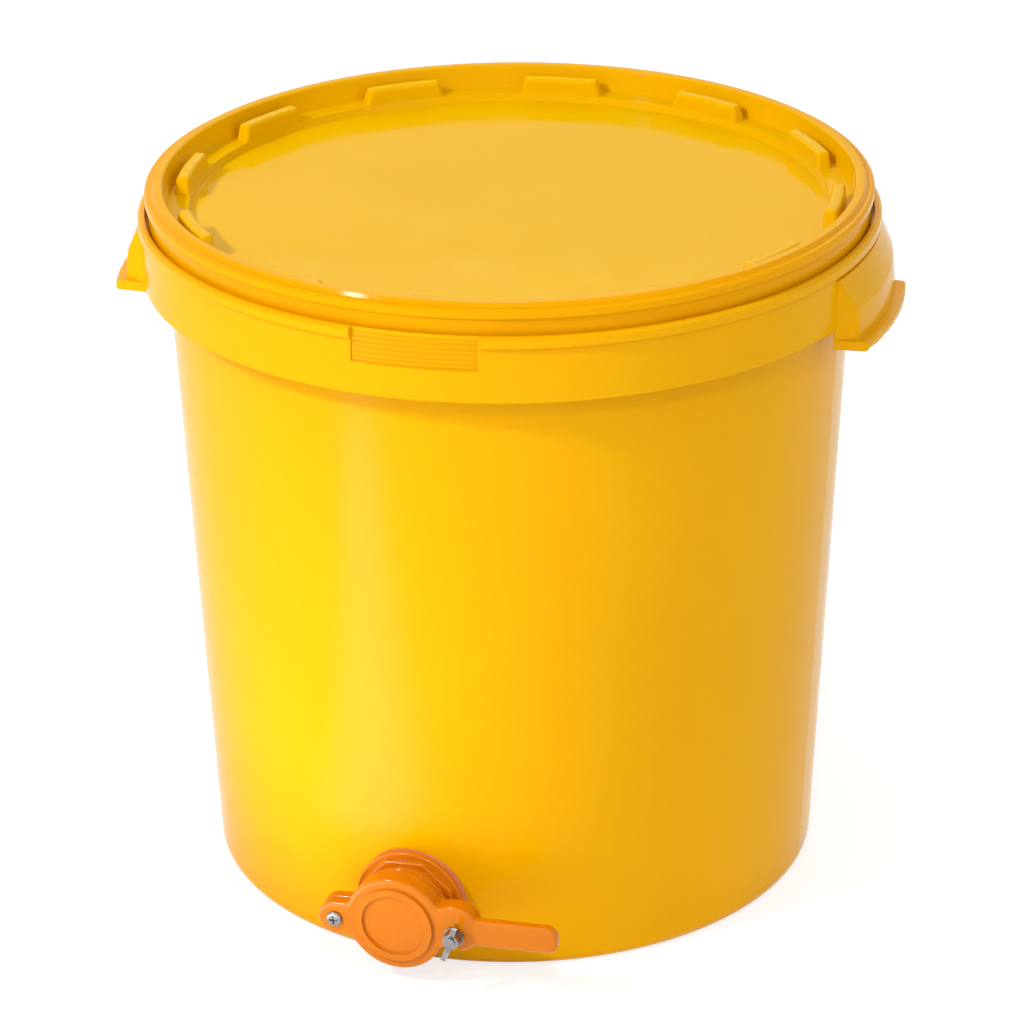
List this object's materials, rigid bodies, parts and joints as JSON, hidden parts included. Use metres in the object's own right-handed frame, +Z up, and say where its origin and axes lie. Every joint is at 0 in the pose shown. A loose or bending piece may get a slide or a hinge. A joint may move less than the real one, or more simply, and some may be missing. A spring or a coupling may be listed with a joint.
{
  "type": "honey tank",
  "caption": "Round plastic storage pail with a recessed snap lid, moulded side grips and a swinging shutter gate low on its wall, clamped by a wing nut.",
  "frame": {"origin": "centre of the underside, on the floor", "axes": "+Z up the tank's axis, -Y out of the gate, +X to the right of someone who faces the gate"},
  "size_m": [0.4106, 0.3921, 0.3768],
  "materials": {
    "pail_yellow": "smooth moulded polypropylene, semi-gloss",
    "lid_yellow": "smooth moulded polypropylene, semi-gloss",
    "seal_white": "soft foamed seal",
    "gate_orange": "glossy moulded nylon",
    "gasket_pink": "soft flat gasket",
    "seat_rubber": "soft ring",
    "zinc_steel": "bright zinc plate"
  },
  "bodies": {
    "tank": {"pail": "pail_yellow", "gate_body": "gate_orange", "outer_gasket": "gasket_pink", "inner_gasket": "gasket_pink", "gate_nut": "gate_orange", "seat_ring": "seat_rubber", "pivot_screw": "zinc_steel", "pivot_nut": "zinc_steel", "clamp_bolt": "zinc_steel"},
    "lid": {"lid": "lid_yellow", "lid_seal": "seal_white"},
    "shutter": {"shutter": "gate_orange"},
    "clamp_washer": {"clamp_washer": "zinc_steel"},
    "wing_nut": {"wing_nut": "zinc_steel"}
  },
  "joints": [
    {"name": "lid_lift", "type": "slide", "parent": "tank", "child": "lid", "axis": [0, 0, 1], "range_m": [0, 0.06]},
    {"name": "gate_swing", "type": "hinge", "parent": "tank", "child": "shutter", "pos_m": [-0.03264, -0.1875, 0.03448], "axis": [0, -0.9988, -0.0497], "range_deg": [0, 90]},
    {"name": "wing_nut_advance", "type": "slide", "parent": "tank", "child": "clamp_washer", "axis": [0, -0.9988, -0.0497], "range_m": [0, 0.0016]},
    {"name": "wing_nut_turn", "type": "hinge", "parent": "clamp_washer", "child": "wing_nut", "pos_m": [0.03243, -0.19278, 0.03509], "axis": [0, -0.9988, -0.0497], "range_deg": [0, 720]}
  ],
  "couplings": [
    {"joint": "wing_nut_advance", "follows": "wing_nut_turn", "m_per_rad": 0.00012732}
  ]
}
